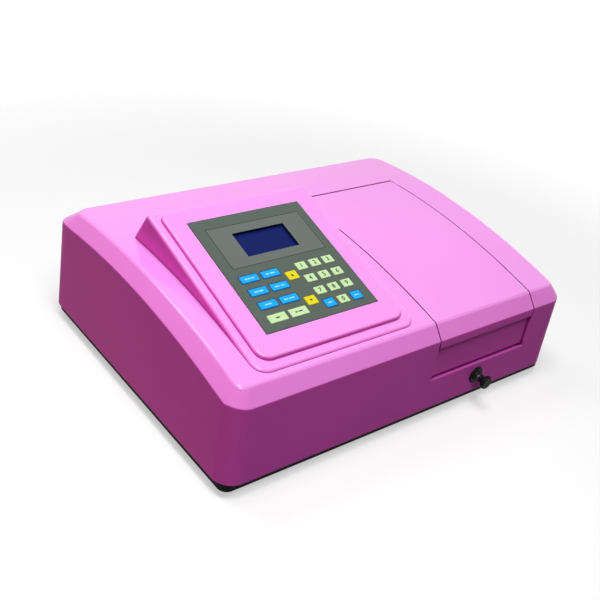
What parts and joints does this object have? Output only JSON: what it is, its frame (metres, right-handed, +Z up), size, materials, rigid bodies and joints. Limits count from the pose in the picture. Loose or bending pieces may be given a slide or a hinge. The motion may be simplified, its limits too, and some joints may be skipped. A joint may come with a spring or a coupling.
{
  "type": "bench spectrophotometer",
  "caption": "Low bench spectrophotometer with an arched pink case, a tilted keypad console, a hinged drape-over sample lid and a pull-rod cell changer.",
  "frame": {"origin": "on the bench, below the middle of the whole part's box", "axes": "+X to the right seen from the front, +Y to the rear, +Z up"},
  "size_m": [0.47, 0.3726, 0.1825],
  "materials": {
    "case_pink": "satin moulded plastic",
    "moulded_black": "fine moulded texture",
    "knob_black": "polished",
    "soft_black": "matte",
    "bright_steel": "turned",
    "cast_alloy": "as cast",
    "sheet_alloy": "rolled sheet",
    "membrane_grey": "printed film",
    "display_blue": "clear window over a dark display",
    "quartz": "polished",
    "optic_mirror": "polished",
    "board_green": "solder mask",
    "motor_black": "satin",
    "key_blue": "printed film",
    "key_green": "printed film",
    "key_yellow": "printed film"
  },
  "bodies": {
    "chassis": {"casing": "case_pink", "console": "case_pink", "base_tray": "moulded_black", "tub": "moulded_black", "fan_frame": "moulded_black", "mains_inlet": "moulded_black", "switch_frame": "moulded_black", "rod_bush": "knob_black", "feet": "soft_black", "lid_seal": "soft_black", "casing_screws": "bright_steel", "panel_screws": "bright_steel", "fan_screws": "bright_steel", "hinge_pins": "bright_steel", "guide_rods": "bright_steel", "data_port": "bright_steel", "mono_housing": "cast_alloy", "detector_box": "sheet_alloy", "mono_cover": "sheet_alloy", "lamp_house": "sheet_alloy", "membrane": "membrane_grey", "lcd_window": "display_blue", "beam_windows": "quartz", "lamp": "quartz", "mirrors": "optic_mirror", "lcd_module": "board_green", "detector": "board_green", "power_supply": "board_green", "main_board": "board_green", "wavelength_motor": "motor_black"},
    "lid": {"lid": "case_pink"},
    "cell_changer": {"carriage": "moulded_black", "pull_rod": "bright_steel", "pull_knob": "knob_black"},
    "rocker": {"switch_rocker": "moulded_black"},
    "fan": {"fan_rotor": "moulded_black"},
    "grating_table": {"grating_mount": "bright_steel", "grating": "optic_mirror"},
    "key_wide_1": {"key_wide_1": "key_blue"},
    "key_wide_2": {"key_wide_2": "key_blue"},
    "key_wide_3": {"key_wide_3": "key_blue"},
    "key_wide_4": {"key_wide_4": "key_blue"},
    "key_wide_5": {"key_wide_5": "key_blue"},
    "key_wide_6": {"key_wide_6": "key_blue"},
    "key_wide_7": {"key_wide_7": "key_green"},
    "key_wide_8": {"key_wide_8": "key_green"},
    "key_arrow_1": {"key_arrow_1": "key_yellow"},
    "key_arrow_2": {"key_arrow_2": "key_yellow"},
    "key_pad_1": {"key_pad_1": "key_green"},
    "key_pad_2": {"key_pad_2": "key_green"},
    "key_pad_3": {"key_pad_3": "key_green"},
    "key_pad_4": {"key_pad_4": "key_green"},
    "key_pad_5": {"key_pad_5": "key_green"},
    "key_pad_6": {"key_pad_6": "key_green"},
    "key_pad_7": {"key_pad_7": "key_green"},
    "key_pad_8": {"key_pad_8": "key_green"},
    "key_pad_9": {"key_pad_9": "key_green"},
    "key_pad_10": {"key_pad_10": "key_blue"},
    "key_pad_11": {"key_pad_11": "key_green"},
    "key_pad_12": {"key_pad_12": "key_blue"}
  },
  "joints": [
    {"name": "lid_hinge", "type": "hinge", "parent": "chassis", "child": "lid", "pos_m": [0.1025, 0.08325, 0.13834], "axis": [-1, 0, 0], "range_deg": [0, 90]},
    {"name": "cell_slide", "type": "slide", "parent": "chassis", "child": "cell_changer", "axis": [0, -1, 0], "range_m": [0, 0.054]},
    {"name": "rocker_pivot", "type": "hinge", "parent": "chassis", "child": "rocker", "pos_m": [-0.135, 0.18045, 0.05], "axis": [0, 0, 1], "range_deg": [0, 16]},
    {"name": "fan_spin", "type": "hinge", "parent": "chassis", "child": "fan", "pos_m": [-0.02, 0.16625, 0.058], "axis": [0, 1, 0], "continuous": true},
    {"name": "grating_turn", "type": "hinge", "parent": "chassis", "child": "grating_table", "pos_m": [-0.1, -0.00375, 0.05], "axis": [0, 0, 1], "range_deg": [-25, 25]},
    {"name": "key_wide_1_press", "type": "slide", "parent": "chassis", "child": "key_wide_1", "axis": [0, 0.2639, -0.9646], "range_m": [0, 0.0004], "stiffness_N_per_m": 600},
    {"name": "key_wide_2_press", "type": "slide", "parent": "chassis", "child": "key_wide_2", "axis": [0, 0.2639, -0.9646], "range_m": [0, 0.0004], "stiffness_N_per_m": 600},
    {"name": "key_wide_3_press", "type": "slide", "parent": "chassis", "child": "key_wide_3", "axis": [0, 0.2639, -0.9646], "range_m": [0, 0.0004], "stiffness_N_per_m": 600},
    {"name": "key_wide_4_press", "type": "slide", "parent": "chassis", "child": "key_wide_4", "axis": [0, 0.2639, -0.9646], "range_m": [0, 0.0004], "stiffness_N_per_m": 600},
    {"name": "key_wide_5_press", "type": "slide", "parent": "chassis", "child": "key_wide_5", "axis": [0, 0.2639, -0.9646], "range_m": [0, 0.0004], "stiffness_N_per_m": 600},
    {"name": "key_wide_6_press", "type": "slide", "parent": "chassis", "child": "key_wide_6", "axis": [0, 0.2639, -0.9646], "range_m": [0, 0.0004], "stiffness_N_per_m": 600},
    {"name": "key_wide_7_press", "type": "slide", "parent": "chassis", "child": "key_wide_7", "axis": [0, 0.2639, -0.9646], "range_m": [0, 0.0004], "stiffness_N_per_m": 600},
    {"name": "key_wide_8_press", "type": "slide", "parent": "chassis", "child": "key_wide_8", "axis": [0, 0.2639, -0.9646], "range_m": [0, 0.0004], "stiffness_N_per_m": 600},
    {"name": "key_arrow_1_press", "type": "slide", "parent": "chassis", "child": "key_arrow_1", "axis": [0, 0.2639, -0.9646], "range_m": [0, 0.0004], "stiffness_N_per_m": 600},
    {"name": "key_arrow_2_press", "type": "slide", "parent": "chassis", "child": "key_arrow_2", "axis": [0, 0.2639, -0.9646], "range_m": [0, 0.0004], "stiffness_N_per_m": 600},
    {"name": "key_pad_1_press", "type": "slide", "parent": "chassis", "child": "key_pad_1", "axis": [0, 0.2639, -0.9646], "range_m": [0, 0.0004], "stiffness_N_per_m": 600},
    {"name": "key_pad_2_press", "type": "slide", "parent": "chassis", "child": "key_pad_2", "axis": [0, 0.2639, -0.9646], "range_m": [0, 0.0004], "stiffness_N_per_m": 600},
    {"name": "key_pad_3_press", "type": "slide", "parent": "chassis", "child": "key_pad_3", "axis": [0, 0.2639, -0.9646], "range_m": [0, 0.0004], "stiffness_N_per_m": 600},
    {"name": "key_pad_4_press", "type": "slide", "parent": "chassis", "child": "key_pad_4", "axis": [0, 0.2639, -0.9646], "range_m": [0, 0.0004], "stiffness_N_per_m": 600},
    {"name": "key_pad_5_press", "type": "slide", "parent": "chassis", "child": "key_pad_5", "axis": [0, 0.2639, -0.9646], "range_m": [0, 0.0004], "stiffness_N_per_m": 600},
    {"name": "key_pad_6_press", "type": "slide", "parent": "chassis", "child": "key_pad_6", "axis": [0, 0.2639, -0.9646], "range_m": [0, 0.0004], "stiffness_N_per_m": 600},
    {"name": "key_pad_7_press", "type": "slide", "parent": "chassis", "child": "key_pad_7", "axis": [0, 0.2639, -0.9646], "range_m": [0, 0.0004], "stiffness_N_per_m": 600},
    {"name": "key_pad_8_press", "type": "slide", "parent": "chassis", "child": "key_pad_8", "axis": [0, 0.2639, -0.9646], "range_m": [0, 0.0004], "stiffness_N_per_m": 600},
    {"name": "key_pad_9_press", "type": "slide", "parent": "chassis", "child": "key_pad_9", "axis": [0, 0.2639, -0.9646], "range_m": [0, 0.0004], "stiffness_N_per_m": 600},
    {"name": "key_pad_10_press", "type": "slide", "parent": "chassis", "child": "key_pad_10", "axis": [0, 0.2639, -0.9646], "range_m": [0, 0.0004], "stiffness_N_per_m": 600},
    {"name": "key_pad_11_press", "type": "slide", "parent": "chassis", "child": "key_pad_11", "axis": [0, 0.2639, -0.9646], "range_m": [0, 0.0004], "stiffness_N_per_m": 600},
    {"name": "key_pad_12_press", "type": "slide", "parent": "chassis", "child": "key_pad_12", "axis": [0, 0.2639, -0.9646], "range_m": [0, 0.0004], "stiffness_N_per_m": 600}
  ]
}
